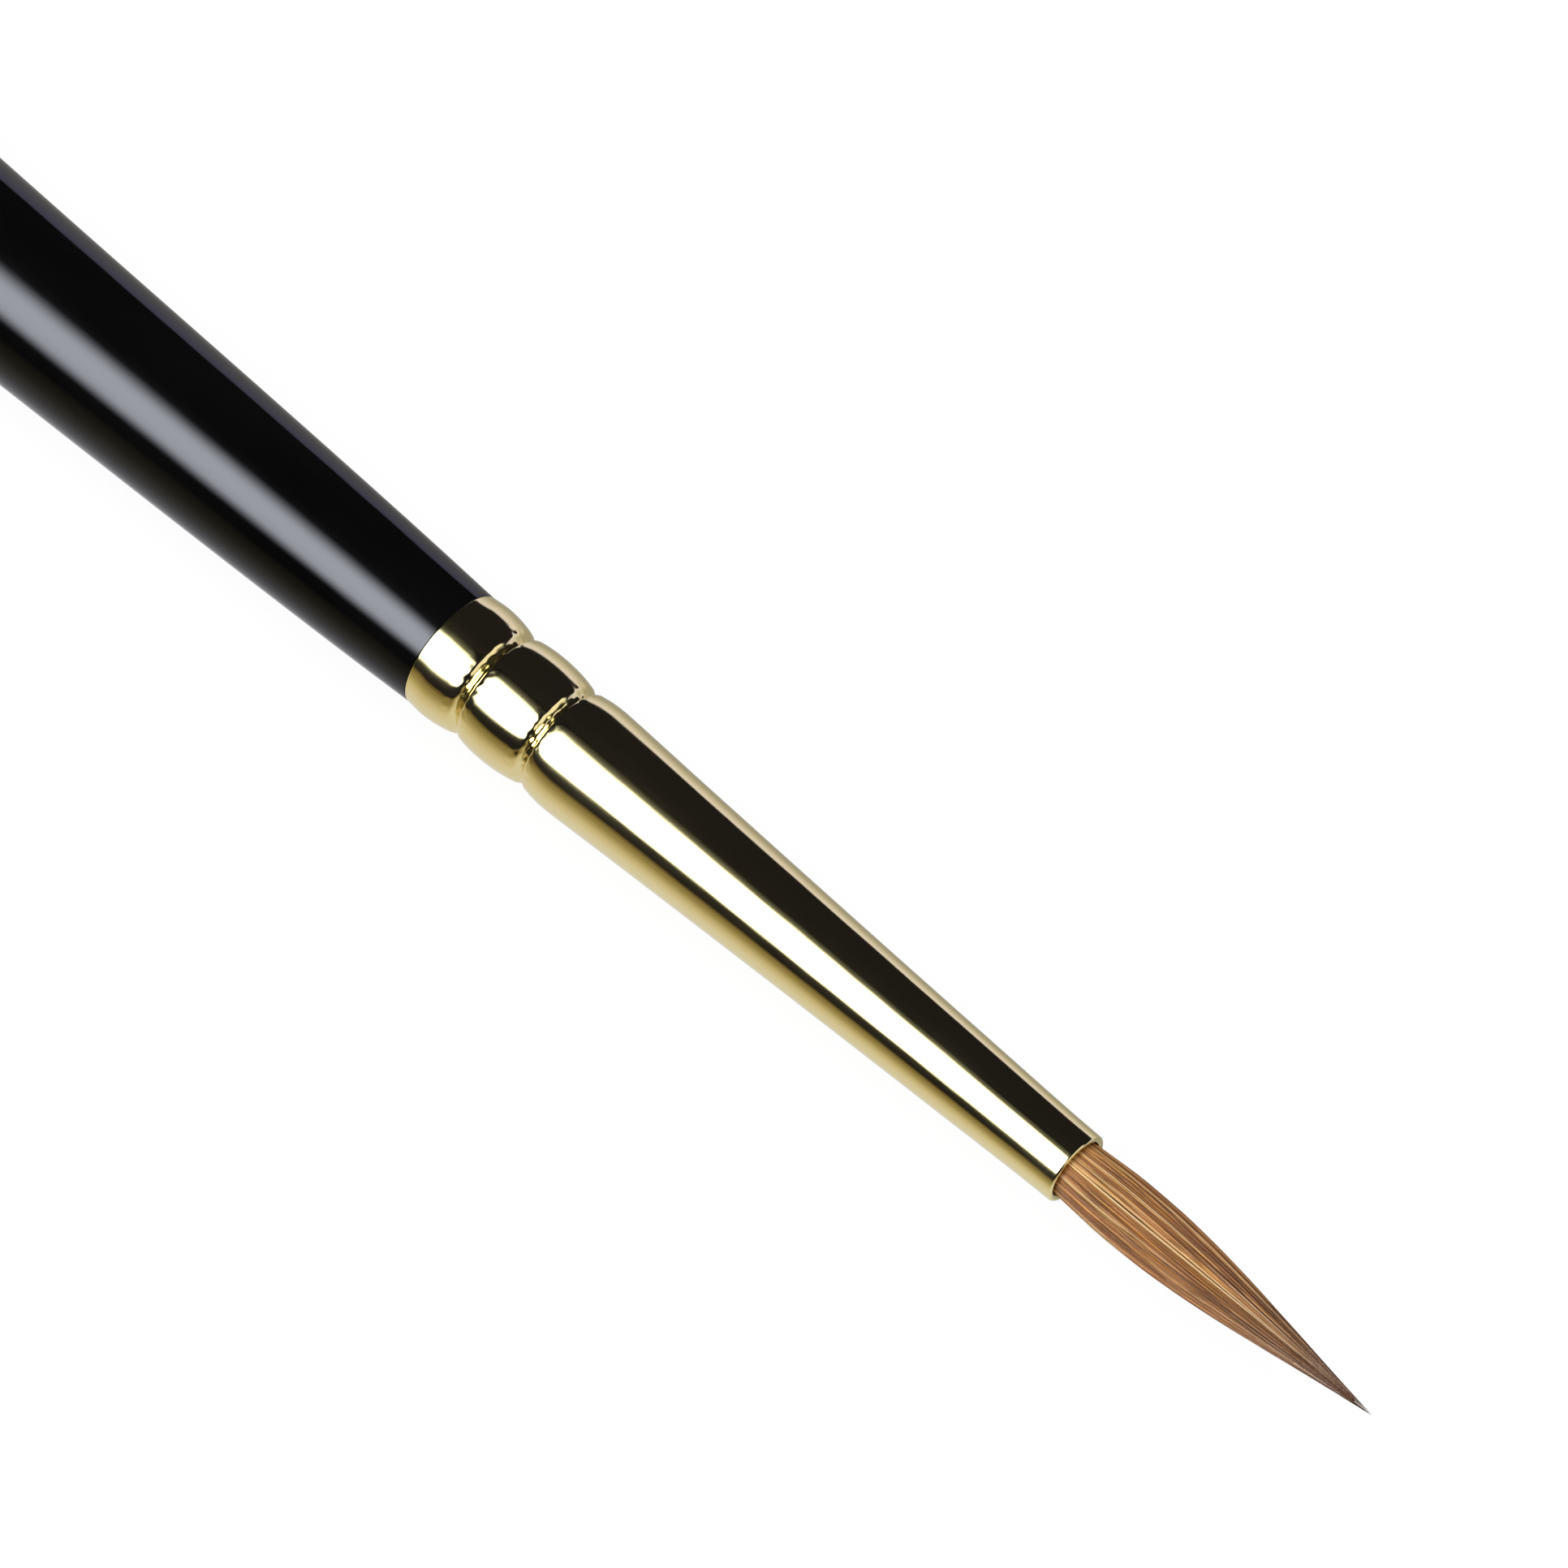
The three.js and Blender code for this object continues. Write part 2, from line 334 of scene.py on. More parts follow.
def gold_plate():
    look = Look("gold_plate", Base_Color=(0.86, 0.745, 0.36, 1), Metallic=1.0, Roughness=0.1)
    tone = look.noise(2.5, stretch=4, detail=2)
    look.set("Base Color", look.ramp(tone, [(0.3, (0.84, 0.715, 0.33)), (0.7, (0.88, 0.77, 0.39))]))
    haze = look.noise(0.6, stretch=6, detail=4, roughness=0.6)
    look.set("Roughness", look.spread(haze, 0.075, 0.125))
    draw_lines = look.noise(0.09, stretch=60, detail=3, roughness=0.6)
    waves = look.noise(0.9, stretch=5, detail=2)
    normal = look.bump(draw_lines, 0.0006)
    look.set("Normal", look.bump(waves, 0.006, under=normal))
    return look.material


def black_lacquer():
    look = Look("black_lacquer", Roughness=0.08, IOR=1.3)
    depth = look.noise(3.0, stretch=3, detail=2)
    blacks = [(0.35, (0.0012, 0.0012, 0.0013)), (0.65, (0.0022, 0.0022, 0.0023))]
    look.set("Base Color", look.ramp(depth, blacks))
    look.set("Roughness", look.spread(look.noise(0.5, stretch=2, detail=4), 0.06, 0.1))
    peel = look.noise(0.8, stretch=2.5, detail=1)
    fine = look.noise(0.12, stretch=10, detail=3)
    look.set("Normal", look.bump(peel, 0.004, under=look.bump(fine, 0.0004)))
    return look.material


def turned_wood():
    look = Look("turned_wood", Roughness=0.7)
    grain = look.noise(0.18, stretch=40, detail=5, roughness=0.65)
    bands = look.noise(1.1, stretch=30, detail=2)
    pale = look.ramp(grain, [(0.3, (0.42, 0.25, 0.12)), (0.7, (0.66, 0.46, 0.26))])
    dark = look.ramp(grain, [(0.3, (0.3, 0.16, 0.07)), (0.7, (0.52, 0.33, 0.17))])
    look.set("Base Color", look.mix(look.spread(bands, 0, 1, 0.4, 0.6), pale, dark))
    look.set("Roughness", look.spread(grain, 0.8, 0.6))
    look.set("Normal", look.bump(grain, 0.01))
    return look.material


def cured_glue():
    look = Look("cured_glue", Roughness=0.45, IOR=1.5, Subsurface_Weight=0.3, Subsurface_Scale=0.0003)
    cloud = look.noise(0.5, detail=4)
    look.set("Base Color", look.ramp(cloud, [(0.35, (0.62, 0.54, 0.36)), (0.65, (0.78, 0.72, 0.55))]))
    look.set("Roughness", look.spread(cloud, 0.35, 0.55))
    look.set("Normal", look.bump(look.noise(0.2, detail=3), 0.006))
    return look.material


def amber_resin():
    look = Look("amber_resin", Roughness=0.2, IOR=1.52, Subsurface_Weight=0.5, Subsurface_Scale=0.0004)
    cloud = look.noise(0.7, detail=3)
    look.set("Base Color", look.ramp(cloud, [(0.3, (0.42, 0.2, 0.05)), (0.7, (0.65, 0.38, 0.12))]))
    look.set("Roughness", look.spread(cloud, 0.15, 0.3))
    look.set("Normal", look.bump(look.noise(0.15, detail=3), 0.004))
    return look.material


def waxed_thread():
    look = Look("waxed_thread", Roughness=0.7, Sheen_Weight=0.3)
    fuzz = look.noise(0.02, stretch=2, detail=4)
    look.set("Base Color", look.ramp(fuzz, [(0.3, (0.62, 0.56, 0.42)), (0.7, (0.86, 0.82, 0.7))]))
    look.set("Normal", look.bump(fuzz, 0.004))
    return look.material


def sable(name, base, tip):
    """Hair colour from three numbers stored on each hair: its shade, its paleness, and how far along it
    a point lies."""
    look = Look(name, Roughness=0.36, IOR=1.5, Specular_IOR_Level=0.2)
    stored = look.node("ShaderNodeAttribute", attribute_name="hair")
    shade, pale, along = look.node("ShaderNodeSeparateColor", {"Color": stored.outputs["Color"]}).outputs
    spot = look.node("ShaderNodeCombineXYZ",
                     {0: multiply(look, shade, 700.0), 1: multiply(look, along, 7.0)})
    mottle = look.node("ShaderNodeTexNoise", {"Vector": spot.outputs[0], "Scale": 1.0, "Detail": 2.0})
    mottle = mottle.outputs["Fac"]
    colour = look.mix(look.spread(along, 0, 1, 0.42, 0.85), look.ramp(shade, base), look.ramp(shade, tip))
    rosy = look.noise(0.8, stretch=8, detail=2)
    colour = look.mix(look.spread(rosy, 0.0, 0.5, 0.42, 0.62), colour, (1.0, 0.86, 1.15), "MULTIPLY")
    dark = multiply(look, look.spread(mottle, 0.0, 0.9, 0.45, 0.68), look.spread(along, 1, 0.15, 0.5, 0.9))
    colour = look.mix(dark, colour, (0.07, 0.024, 0.005))
    creams = [(0.0, (0.66, 0.48, 0.22)), (0.7, (0.5, 0.34, 0.19)), (1.0, (0.1, 0.06, 0.04))]
    cream = look.ramp(along, creams)
    look.set("Base Color", look.mix(pale, colour, cream))
    look.set("Roughness", look.spread(mottle, 0.28, 0.46))
    return look.material


GOLD = gold_plate()
LACQUER_BLACK = black_lacquer()
WOOD = turned_wood()
GLUE_FILM = cured_glue()
RESIN = amber_resin()
THREAD = waxed_thread()
HAIR_BODY = [(0.0, (0.07, 0.02, 0.0025)), (0.35, (0.195, 0.066, 0.007)), (0.7, (0.355, 0.145, 0.02)),
             (1.0, (0.57, 0.29, 0.068))]
HAIR_TIP = [(0.0, (0.05, 0.021, 0.011)), (0.5, (0.1, 0.045, 0.02)), (1.0, (0.18, 0.092, 0.045))]
HAIR = sable("sable_hair", HAIR_BODY, HAIR_TIP)
# The packed core takes only the darker stops of each ramp: painted shade inside the bundle.
HAIR_CORE_PAINTED_SHADE = sable("sable_hair_inner_painted_shade", HAIR_BODY[:2], HAIR_TIP[:2])


# ---- rigid pieces -------------------------------------------------------------------------------
FERRULE_SEGMENTS = 224
HANDLE_SEGMENTS = 168
HIDDEN_SEGMENTS = 72
HIDDEN_STEP = 0.06                   # between stations of hidden surfaces that follow the crimps
ROUND_STEPS = 14                     # of the arcs at the lip and at the tail
EDGE_STEPS = 4
DENT_SEED = 11
DENT_HEIGHT = 0.0042
DENT_REACH = 0.32                    # how far from a crimp the dents fade
DENT_LEAN = 22                       # how much the dents slant, in radians per millimetre
PLIES = 3
PLY_SHARE = 0.46                     # a ply's radius as a share of the thread's
PLY_SPREAD = 1.15                    # how far a ply stands off the thread's middle, in its own radii
PLY_TWISTS = 34                      # full turns of a ply about the thread
PLY_RINGS = 420
PLY_SIDES = 6


def finished(piece, material, body="stick", stands_for=()):
    """Give a piece its material and body, and say which CAD nodes it stands for."""
    piece.data.materials.append(material)
    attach(piece, body)
    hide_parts(*stands_for)
    return piece


def crimp_dents():
    """Small irregular dents that the crimping rollers leave beside each crimp, in millimetres."""
    draw = np.random.default_rng(DENT_SEED)
    waves = [(k, draw.uniform(0, 2 * math.pi), draw.uniform(-DENT_LEAN, DENT_LEAN),
              draw.normal() / k ** 0.3) for k in range(5, 40)]

    def dents(station, angle):
        near = sum(np.exp(-((station - centre) / DENT_REACH) ** 2) for centre, _ in CRIMPS)
        rough = sum(size * np.sin(k * angle + phase + lean * station)
                    for k, phase, lean, size in waves)
        return DENT_HEIGHT * near * rough

    return dents


def ferrule_stations(crimped_step, plain_step):
    """Stations from the junction to the lip, with their own step where the ferrule is crimped."""
    crimped = stations(JUNCTION, CRIMPED_END, crimped_step)
    plain = stations(CRIMPED_END, LIP_START, plain_step)
    return np.concatenate([crimped, plain[1:]])


def make_ferrule():
    outer = ferrule_stations(0.035, 0.6)
    inner = ferrule_stations(HIDDEN_STEP, 2.0)
    half = FERRULE_WALL / 2
    edge = arc(JUNCTION + EDGE_ROUND, ferrule_radius(JUNCTION) - EDGE_ROUND, EDGE_ROUND, EDGE_ROUND,
               180, 90, EDGE_STEPS)
    lip = arc(-half, MOUTH_RADIUS - half, half, half, 90, -90, ROUND_STEPS)
    outside = edge + profile(ferrule_radius, outer[1:]) + lip
    outline = tube_outline(outside, profile(bore_radius, inner))
    return turned("ferrule_shell", outline, FERRULE_SEGMENTS, crimp_dents())


def handle_outline(skin, step):
    """The handle's outline from the middle of its tail to the junction, skin millimetres inside."""
    end = arc(TAIL + skin + TAIL_ROUND, TAIL_FLAT_RADIUS - skin, TAIL_ROUND,
              TAIL_RADIUS - TAIL_FLAT_RADIUS, 180, 90, ROUND_STEPS)
    where = stations(TAIL + 2 * TAIL_ROUND, JUNCTION - FIT, step)
    return [(TAIL + skin, 0)] + end + profile(handle_radius, where, skin)


def make_lacquer():
    outer = handle_outline(skin=0, step=0.9)
    inner = handle_outline(LACQUER, step=6)
    rounded = arc(JUNCTION - FIT - EDGE_ROUND, handle_radius(JUNCTION) - EDGE_ROUND, EDGE_ROUND,
                  EDGE_ROUND, 90, 0, EDGE_STEPS)
    return turned("handle_lacquer_coat", outer[:-1] + rounded + inner[::-1], HANDLE_SEGMENTS)


def tenon_profile(shrink):
    """The part of the ferrule's bore that the tenon fills, less shrink."""
    where = stations(JUNCTION, JUNCTION + TENON_LENGTH, HIDDEN_STEP)
    return profile(bore_radius, where, shrink)


def make_core():
    tenon = tenon_profile(GLUE + 2 * FIT)
    outline = handle_outline(LACQUER + FIT, step=4) + tenon + [(JUNCTION + TENON_LENGTH, 0)]
    return turned("handle_wood", outline, HIDDEN_SEGMENTS)


def make_tenon_glue():
    outline = tube_outline(tenon_profile(FIT), tenon_profile(FIT + GLUE))
    return turned("tenon_glue_sleeve", outline, HIDDEN_SEGMENTS)


def make_root_glue():
    over_thread = BUTT_RADIUS + 2 * THREAD_RADIUS + 2 * FIT
    past_thread = THREAD_END + THREAD_PITCH
    outline = [(PLUG_BACK, 0)]
    outline += profile(bore_radius, stations(PLUG_BACK, COLLAR_END, 0.5), FIT)
    outline += [(COLLAR_END, HAIR_RADIUS + FIT), (past_thread + THREAD_PITCH, HAIR_RADIUS + FIT),
                (past_thread, over_thread), (-HAIR_ROOT - FIT, over_thread), (-HAIR_ROOT - FIT, 0)]
    return turned("root_glue_plug", outline, HIDDEN_SEGMENTS)


def ply_skin(ply):
    """Rings of points round one ply, which twists with the others as the thread winds round the hair."""
    ply_radius = THREAD_RADIUS * PLY_SHARE
    t = np.linspace(0, 1, PLY_RINGS)
    wind = 2 * math.pi * THREAD_TURNS * t
    twist = 2 * math.pi * (ply / PLIES + PLY_TWISTS * t)
    station = THREAD_START + THREAD_TURNS * THREAD_PITCH * t + ply_radius * PLY_SPREAD * np.sin(twist)
    radius = BUTT_RADIUS + FIT + THREAD_RADIUS + ply_radius * PLY_SPREAD * np.cos(twist)
    centre = np.stack([station, radius * np.cos(wind), radius * np.sin(wind)], -1)
    along = np.gradient(centre, axis=0)
    along /= np.linalg.norm(along, axis=1, keepdims=True)
    out = np.stack([np.zeros(PLY_RINGS), np.cos(wind), np.sin(wind)], -1)
    beside = np.cross(along, out)
    angle = np.arange(PLY_SIDES) * 2 * math.pi / PLY_SIDES
    return centre[:, None] + ply_radius * (np.cos(angle)[None, :, None] * out[:, None]
                                           + np.sin(angle)[None, :, None] * beside[:, None])


def make_thread():
    """Three plies twisted together and wound round the hair."""
    points, faces = [], []
    for ply in range(PLIES):
        start = ply * PLY_RINGS * PLY_SIDES
        last = start + (PLY_RINGS - 1) * PLY_SIDES
        points.append(ply_skin(ply).reshape(-1, 3))
        for ring in range(start, last, PLY_SIDES):
            for side in range(PLY_SIDES):
                turn = (side + 1) % PLY_SIDES
                after = ring + PLY_SIDES
                faces.append([ring + side, after + side, after + turn, ring + turn])
        faces.append([start + side for side in range(PLY_SIDES)])
        faces.append([last + side for side in reversed(range(PLY_SIDES))])
    return mesh_object("binding_thread_turns", np.vstack(points), faces, STRAND_SHARP_ANGLE)


finished(make_ferrule(), GOLD, stands_for=["ferrule"])
finished(make_lacquer(), LACQUER_BLACK, stands_for=["handle_lacquer"])
finished(make_core(), WOOD, stands_for=["handle_core"])
finished(make_tenon_glue(), GLUE_FILM, stands_for=["tenon_adhesive"])
finished(make_root_glue(), RESIN, stands_for=["root_adhesive"])
finished(make_thread(), THREAD, stands_for=["binding_thread"])


# ---- hair ---------------------------------------------------------------------------------------
# The deeper layers get a lower shade, so their hairs come out darker: painted shade.
HAIR_LAYERS = ((185, 1.0, 0.0), (225, 0.96, -0.12), (265, 0.92, -0.25))    # count, reach, shade
HAIR_THICKNESS = 0.025               # radius of a hair at its belly
HAIR_SIDES = 5
HAIR_POINT = 0.42                    # the last share of its free length, over which a hair thins
HAIR_TUCK = 0.75                     # share of its free length from which a hair is drawn inward
PALE_SHARE = 0.2                     # share of the hairs that are cream
ROOT_RINGS = (-7.4, -6.6, -6.0, -4.5, -2.0)
FREE_RINGS = 22
CLUMP_HEIGHT = 0.012                 # as a share of the bundle's radius
CLUMPS_FULL = 1.5                    # the station from which clumps stand at their full height
CORE_SEGMENTS = 120
CORE_SHARE = 0.88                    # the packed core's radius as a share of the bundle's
# Low, so that the core comes out dark: painted shade inside the bundle.
CORE_PAINTED_SHADE = 0.3
CORE_BACK = -7.35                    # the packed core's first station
HAIR_SEED = 7
rng = np.random.default_rng(HAIR_SEED)
clump_waves = [(k, rng.uniform(0, 2 * math.pi), rng.normal() / k ** 0.5) for k in range(4, 34)]


def clumping(angle):
    """How far the bundle's surface stands out at an angle, as a share of its radius."""
    raised = sum(size * np.sin(k * angle + phase) for k, phase, size in clump_waves)
    return CLUMP_HEIGHT * np.tanh(raised)


def bundle_radius(station, angle):
    """Radius of the whole hair bundle, clumps and all."""
    free = tuft_radius(np.clip(station, 0, HAIR_OUT))
    bound = root_radius(np.clip(station, -HAIR_ROOT, 0))
    opened = np.clip(station / CLUMPS_FULL, 0, 1)
    return np.where(station < 0, bound, free) * (1 + opened * clumping(angle))


def hair_ends(count):
    """Where each hair ends, so that the number of hairs falls off with the bundle's radius."""
    fine = np.linspace(2.0, HAIR_OUT, 400)
    share = np.clip(tuft_radius(fine) / tuft_radius(1.9) * 0.97 + 0.03, 0, 1)
    wanted = (np.arange(count) + 0.5) / count
    return np.interp(rng.permutation(wanted), share[::-1], fine[::-1])


def make_hair(name, count, reach, tone):
    """One layer of separate hairs. Reach is how far out it lies, as a share of the bundle's radius, and
    tone shifts its shade: the deeper layers are made darker, as painted shade."""
    end = hair_ends(count) - rng.uniform(0, 0.25, count)
    angle = (rng.permutation(count) + rng.uniform(-0.45, 0.45, count)) * 2 * math.pi / count
    depth = reach - rng.uniform(0, 0.025, count)
    thick = HAIR_THICKNESS * rng.uniform(0.7, 1.15, count)
    free = np.linspace(0, 1, FREE_RINGS) ** 0.92
    station = np.hstack([np.repeat([ROOT_RINGS], count, 0), end[:, None] * free])
    along = np.clip(station / end[:, None], 0, 1)
    bulk = np.clip((1 - along) / HAIR_POINT, 0.0, 1) ** 0.7
    radii = thick[:, None] * (0.08 + 0.92 * bulk)
    lean = rng.normal(0, 0.05, count)[:, None] * along
    sway = rng.normal(0, 0.012, count)[:, None] * np.sin(along * rng.uniform(3, 8, count)[:, None])
    theta = angle[:, None] + lean + sway
    outer = bundle_radius(station, theta)
    radii = np.minimum(radii, outer * 0.45 + 0.004)
    tuck = 1 - 0.05 * np.clip((along - HAIR_TUCK) / (1 - HAIR_TUCK), 0, 1)
    ring_radius = np.maximum(outer * depth[:, None] * tuck - radii, 0)
    centres = np.stack([station, ring_radius * np.cos(theta), ring_radius * np.sin(theta)], -1)
    piece = tubes(name, centres, radii, HAIR_SIDES)
    # Hairs on the clumps are lighter and hairs in the hollows between them darker: painted light and
    # shade.
    shade = np.clip(rng.beta(1.2, 1.2, count) * 0.95 + 2 * clumping(angle) + 0.05 + tone, 0, 1)
    pale = np.where(rng.random(count) < PALE_SHARE, rng.uniform(0.4, 1.0, count), 0)
    store_hair(piece, shade, pale, station)
    return piece


def store_hair(piece, shade, pale, station):
    """Store each hair's shade and paleness on all its points, in the order that tubes() made them."""
    each = (station.shape[1] - 1) * HAIR_SIDES + 2
    along = np.clip(station / HAIR_OUT, 0, 1)
    per_point = np.hstack([np.repeat(along[:, :-1], HAIR_SIDES, 1), along[:, :1], along[:, -1:]])
    store_numbers(piece, np.repeat(shade, each), np.repeat(pale, each), per_point.ravel())


def store_numbers(piece, shade, pale, along):
    """Store the three numbers that sable() reads, one value or one for each point."""
    colour = np.ones((len(piece.data.vertices), 4))
    colour[:, 0] = shade
    colour[:, 1] = pale
    colour[:, 2] = along
    stored = piece.data.color_attributes.new(name="hair", type="FLOAT_COLOR", domain="POINT")
    stored.data.foreach_set("color", colour.astype(np.float32).ravel())


def core_ridges(station, angle):
    """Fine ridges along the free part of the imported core, in millimetres."""
    return 0.012 * np.sin(41 * angle + 0.4 * station) * (station > 0.2)


def make_hair_core():
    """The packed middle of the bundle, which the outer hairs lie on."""
    where = np.concatenate([stations(CORE_BACK, 0, 0.7), stations(0, HAIR_OUT - 0.9, 0.2)[1:]])
    sides = [(s, CORE_SHARE * float(bundle_radius(np.array(s), 0.0))) for s in where]
    outline = [(where[0], 0)] + sides + [(HAIR_OUT - 0.7, 0)]
    piece = turned("hair_packed_core", outline, CORE_SEGMENTS, core_ridges)
    points = np.array([v.co for v in piece.data.vertices])
    along = np.clip((points - np.array(MOUTH)) @ np.array(AXIS) / (HAIR_OUT * MM), 0, 1)
    # A low shade keeps the core dark, as painted shade inside the bundle.
    store_numbers(piece, CORE_PAINTED_SHADE, 0, along)
    return piece


def bending(piece, material):
    """Give a hair piece its material, bake its placement into its points, and hide the CAD's tuft
    and tuft_root."""
    piece.data.materials.append(material)
    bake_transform(piece)
    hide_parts("tuft", "tuft_root")


bending(make_hair_core(), HAIR_CORE_PAINTED_SHADE)
for number, layer in enumerate(HAIR_LAYERS):
    bending(make_hair(f"hair_strands_{number + 1}", *layer), HAIR)


# ---- camera -------------------------------------------------------------------------------------
VIEW_AZIMUTH = 43.1
VIEW_ELEVATION = 62.75
VIEW_DISTANCE = 0.42                 # metres
LENS = 338.4
AIM_STATION = -14.04                 # the middle of the picture lies beside this station
AIM_OFFSET = 3.12                    # millimetres off the axis, towards the upper right


def make_camera():
    azimuth, elevation = math.radians(VIEW_AZIMUTH), math.radians(VIEW_ELEVATION)
    back = Vector((math.sin(azimuth) * math.cos(elevation), -math.cos(azimuth) * math.cos(elevation),
                   math.sin(elevation)))
    right = (-back).cross(Vector((0, 0, 1))).normalized()
    up = right.cross(-back)
    along = Vector((AXIS.dot(right), AXIS.dot(up))).normalized()
    aim = MOUTH + AXIS * AIM_STATION * MM + (up * along.x - right * along.y) * AIM_OFFSET * MM
    camera = bpy.data.objects.new("camera", bpy.data.cameras.new("camera"))
    bpy.context.scene.collection.objects.link(camera)
    camera.data.lens = LENS
    camera.data.sensor_width = 36
    camera.data.clip_start = 0.01
    camera.data.clip_end = 20
    camera.location = aim + back * VIEW_DISTANCE
    camera.rotation_mode = "QUATERNION"
    camera.rotation_quaternion = (-back).to_track_quat("-Z", "Y")
    bpy.context.scene.camera = camera


make_camera()


# ---- studio -------------------------------------------------------------------------------------
LIT_STATION = -20                    # the lamps face this station
FLOOR_SIZE = 6                       # metres
FLOOR_GLOW = 0.93
FLOOR_GREY = 0.06
WORLD_COLOUR = (0.0143, 0.0135, 0.019)
RAY_KINDS = ("camera", "diffuse", "glossy", "transmission", "volume_scatter", "shadow")


def seen_only_by(obj, ray_kind):
    for kind in RAY_KINDS:
        setattr(obj, f"visible_{kind}", kind == ray_kind)


def panel(name, centre, facing, width, height, along=(1, 0, 0)):
    """Flat rectangle of the stage, looking along facing, with its width as near to along as it can be."""
    mesh = bpy.data.meshes.new(name)
    w, h = width / 2, height / 2
    mesh.from_pydata([(-w, -h, 0), (w, -h, 0), (w, h, 0), (-w, h, 0)], [], [(0, 1, 2, 3)])
    obj = bpy.data.objects.new(name, mesh)
    bpy.context.scene.collection.objects.link(obj)
    z = Vector(facing).normalized()
    x = (Vector(along) - z * z.dot(Vector(along))).normalized()
    y = z.cross(x)
    obj.matrix_world = Matrix.Translation(centre) @ Matrix((x, y, z)).transposed().to_4x4()
    return obj


def glow(name, strength, colour=(1, 1, 1)):
    """Emission material, with its shader, so that the strength or the colour can be linked."""
    look = Look(name)
    light = look.node("ShaderNodeEmission")
    light.inputs["Color"].default_value = (*colour, 1)
    light.inputs["Strength"].default_value = strength
    output = look.tree.nodes["Material Output"]
    look.tree.links.new(light.outputs[0], output.inputs["Surface"])
    look.tree.nodes.remove(look.shader)
    return look, light


def ramp_up(look, value, start, end):
    """0 before start, 1 past end, smooth between. Start may lie above end."""
    node = look.node("ShaderNodeMapRange", {"Value": value, "From Min": start, "From Max": end},
                     interpolation_type="SMOOTHSTEP")
    return node.outputs[0]


def softbox(name, direction, distance, width, height, strength, fades, seen_by, hollow=0.0,
            colour=(1, 1, 1), along=(1, 0, 0)):
    """Big soft light with faded edges: fades are for its two ends, its top and its bottom. It dims
    from its middle by hollow at top and bottom. Only one kind of ray sees it."""
    target = MOUTH + AXIS * LIT_STATION * MM
    toward = Vector(direction).normalized()
    obj = panel(name, target + toward * distance, -toward, width, height, along)
    look, light = glow(name, strength, colour)
    across, down, _ = look.node("ShaderNodeSeparateXYZ",
                                {0: look.node("ShaderNodeTexCoord").outputs["Object"]}).outputs
    w, h = width / 2, height / 2
    ends, top, bottom = fades
    square = multiply(look, down, down)
    middle = look.node("ShaderNodeMath", {0: square, 1: -hollow / h ** 2, 2: 1.0},
                       operation="MULTIPLY_ADD").outputs[0]
    level = multiply(look, middle,
                     ramp_up(look, across, -w, ends - w), ramp_up(look, across, w, w - ends),
                     ramp_up(look, down, -h, top - h), ramp_up(look, down, h, h - bottom), strength)
    look.tree.links.new(level, light.inputs["Strength"])
    obj.data.materials.append(look.material)
    seen_only_by(obj, seen_by)


def make_floor():
    """Plain pale floor. Nearly all its white is its own glow, so that shadows stay very faint."""
    floor = panel("floor", (0, 0, 0), (0, 0, 1), FLOOR_SIZE, FLOOR_SIZE)
    look = Look("pale_floor", Base_Color=(FLOOR_GREY, FLOOR_GREY, FLOOR_GREY, 1), Roughness=0.9,
                Specular_IOR_Level=0.0)
    look.shader.inputs["Emission Color"].default_value = (1, 1, 1, 1)
    look.shader.inputs["Emission Strength"].default_value = FLOOR_GLOW
    floor.data.materials.append(look.material)
    floor.visible_glossy = False


def make_mirrored_floor():
    """The floor as the gold and the lacquer mirror it, just under the plain one. It is pale close by and
    brown far off on the lamp's side; on the other side, a dim strip beside the brush is painted shadow."""
    floor = panel("floor_in_reflections", (0, 0, -0.0005), (0, 0, 1), FLOOR_SIZE, FLOOR_SIZE)
    look, light = glow("mirrored_floor", 1.0)
    side = look.node("ShaderNodeSeparateXYZ",
                     {0: look.node("ShaderNodeTexCoord").outputs["Object"]}).outputs[1]
    reach = 0.08
    where = look.spread(side, 0, 1, -reach, reach)
    # The dim stops from 1 to 15 mm on +Y are painted shadow of the brush, cast away from the lamp.
    stops = [(-0.08, (0.15, 0.11, 0.05)), (-0.049, (0.23, 0.19, 0.095)), (-0.02, (0.32, 0.27, 0.15)),
             (-0.0123, (0.47, 0.41, 0.28)), (-0.0086, (0.63, 0.58, 0.48)), (-0.0063, (0.71, 0.67, 0.65)),
             (-0.0045, (0.76, 0.75, 0.8)), (-0.001, (0.75, 0.75, 0.78)), (0.001, (0.38, 0.38, 0.38)),
             (0.008, (0.4, 0.38, 0.36)), (0.015, (0.6, 0.58, 0.62)), (0.03, (0.8, 0.77, 1.0)),
             (0.05, (0.82, 0.79, 1.1))]
    shade = look.ramp(where, [((y + reach) / (2 * reach), colour) for y, colour in stops])
    look.tree.links.new(shade, light.inputs["Color"])
    floor.data.materials.append(look.material)
    seen_only_by(floor, "glossy")


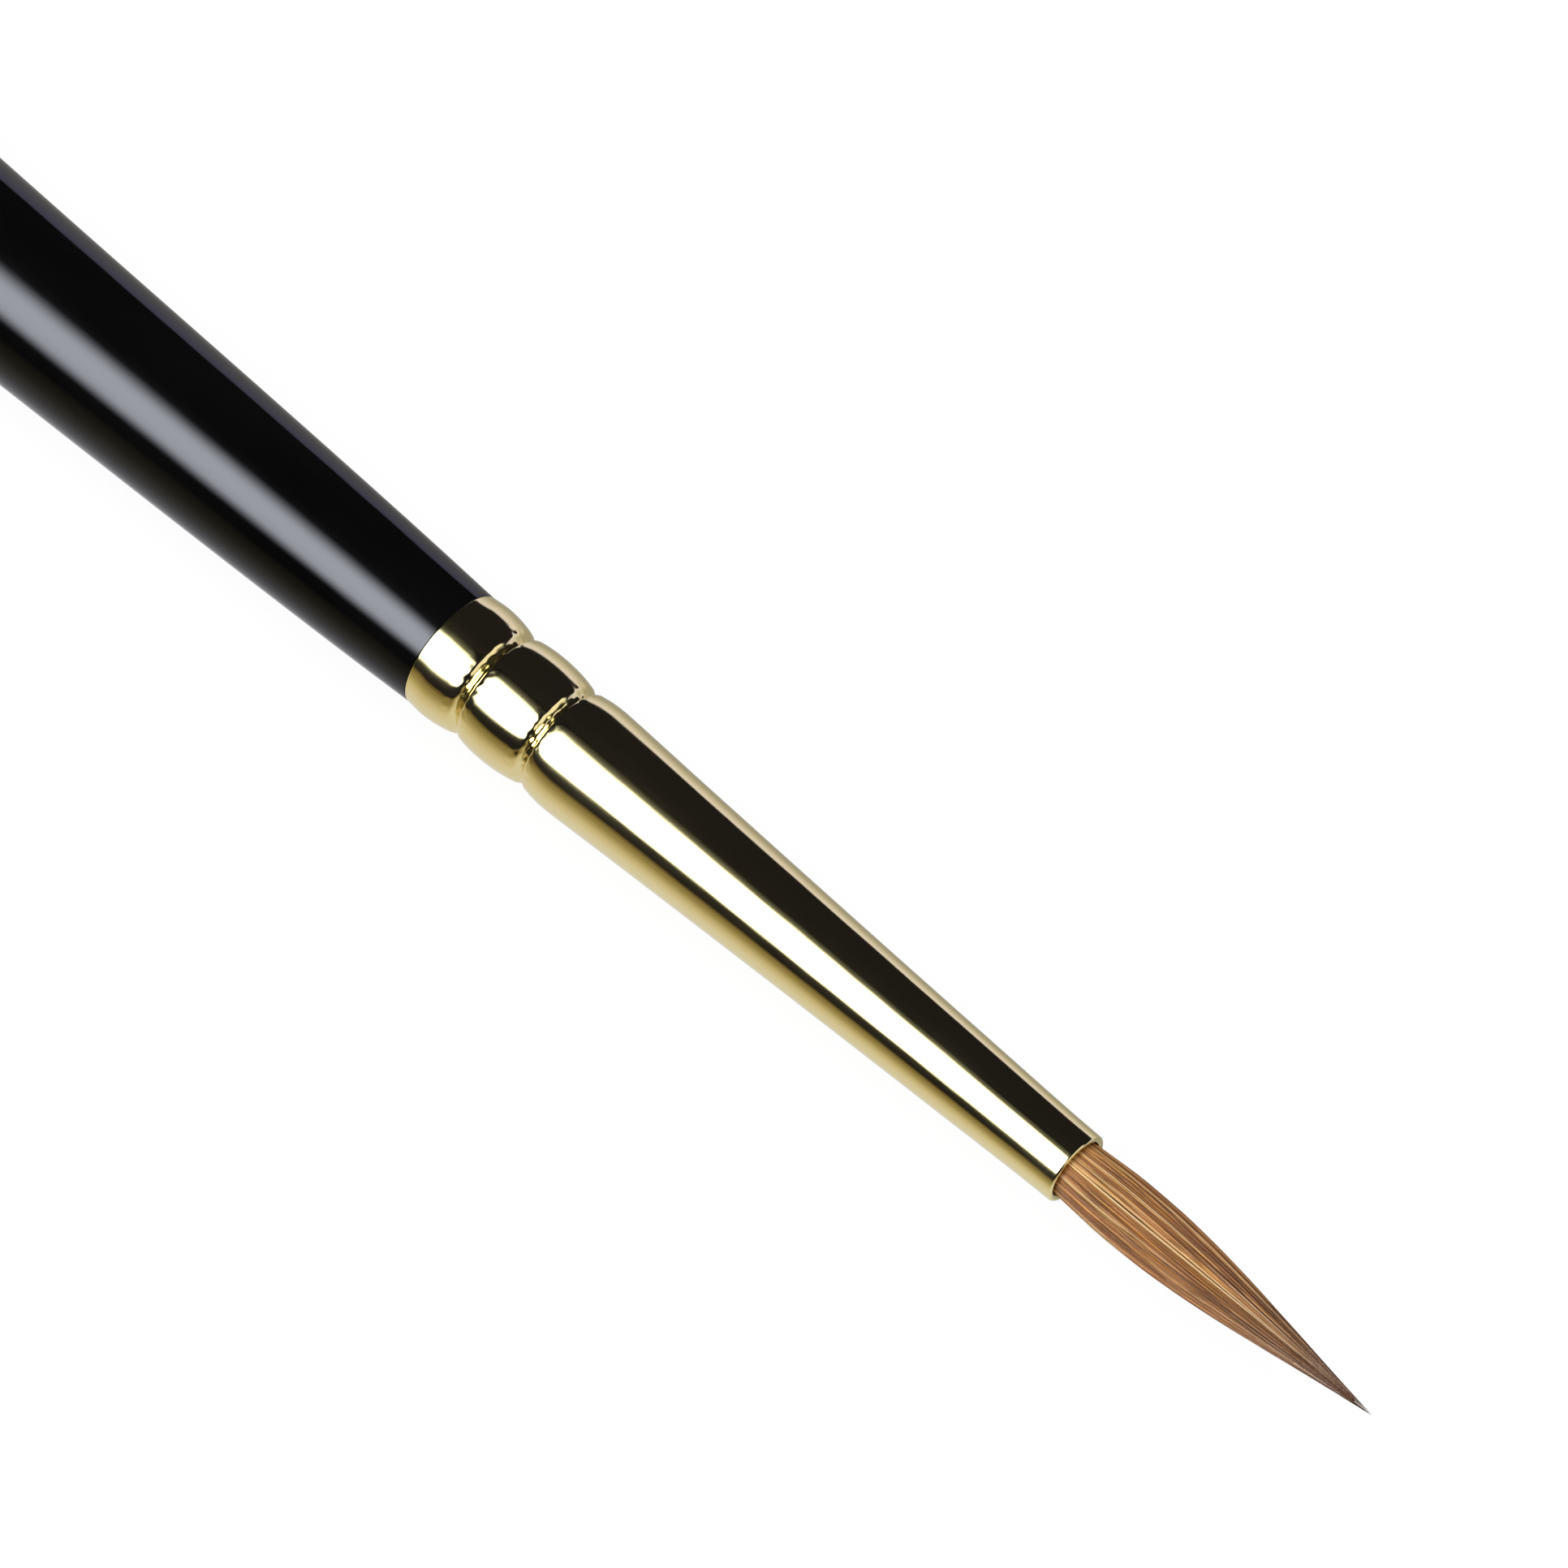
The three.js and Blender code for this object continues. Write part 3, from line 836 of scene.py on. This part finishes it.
def make_dome(name, material_name, radius, strength, seen_by):
    """Glowing dome round the whole stage. Only one kind of ray sees it."""
    bpy.ops.mesh.primitive_uv_sphere_add(segments=48, ring_count=24, radius=radius)
    dome = bpy.context.object
    dome.name = name
    look, _ = glow(material_name, strength)
    dome.data.materials.append(look.material)
    seen_only_by(dome, seen_by)


def make_world():
    world = bpy.data.worlds.new("studio_dark")
    world.use_nodes = True
    world.node_tree.nodes["Background"].inputs["Color"].default_value = (*WORLD_COLOUR, 1)
    bpy.context.scene.world = world


def from_vertical(lean, back):
    """Direction leaning towards -Y from straight up, and back towards the tail, in degrees."""
    lean, back = math.radians(lean), math.radians(back)
    return (-math.sin(back), -math.sin(lean) * math.cos(back), math.cos(lean) * math.cos(back))


def past_tip(turn, rise):
    """Direction from the brush past its tip, turned towards +Y and raised, in degrees."""
    turn, rise = math.radians(turn), math.radians(rise)
    return (math.cos(turn), math.sin(turn), math.tan(rise))


# The gold and the lacquer mirror the key lamp, its halo and a card at the tip. The matt pieces are lit by
# a lamp and a dome of their own, and the pale backdrop is there for the camera alone, so that what is
# mirrored keeps its dark surroundings.
softbox("key_softbox", from_vertical(37, 14), distance=0.45, width=0.58, height=0.584, strength=19,
        fades=(0.16, 0.245, 0.18), seen_by="glossy", hollow=0.75, colour=(0.96, 1.0, 1.1))
softbox("key_halo", from_vertical(24, 14), distance=0.5, width=0.6, height=0.6, strength=0.35,
        fades=(0.2, 0.28, 0.2), seen_by="glossy")
softbox("key_for_matt_pieces", from_vertical(20, 14), distance=0.45, width=0.58, height=0.58,
        strength=4.4, fades=(0.09, 0.09, 0.09), seen_by="diffuse")
softbox("tip_card", past_tip(12, 28), distance=0.3, width=0.39, height=0.22, strength=1.05,
        fades=(0.04, 0.04, 0.04), seen_by="glossy", colour=(1, 0.97, 0.95), along=(0, 1, 0))
make_dome("ambient_light", "ambient_light", radius=4, strength=0.72, seen_by="diffuse")
make_floor()
make_mirrored_floor()
make_dome("backdrop", "pale_backdrop", radius=5, strength=0.96, seen_by="camera")
make_world()
bpy.context.scene.view_settings.view_transform = "Standard"
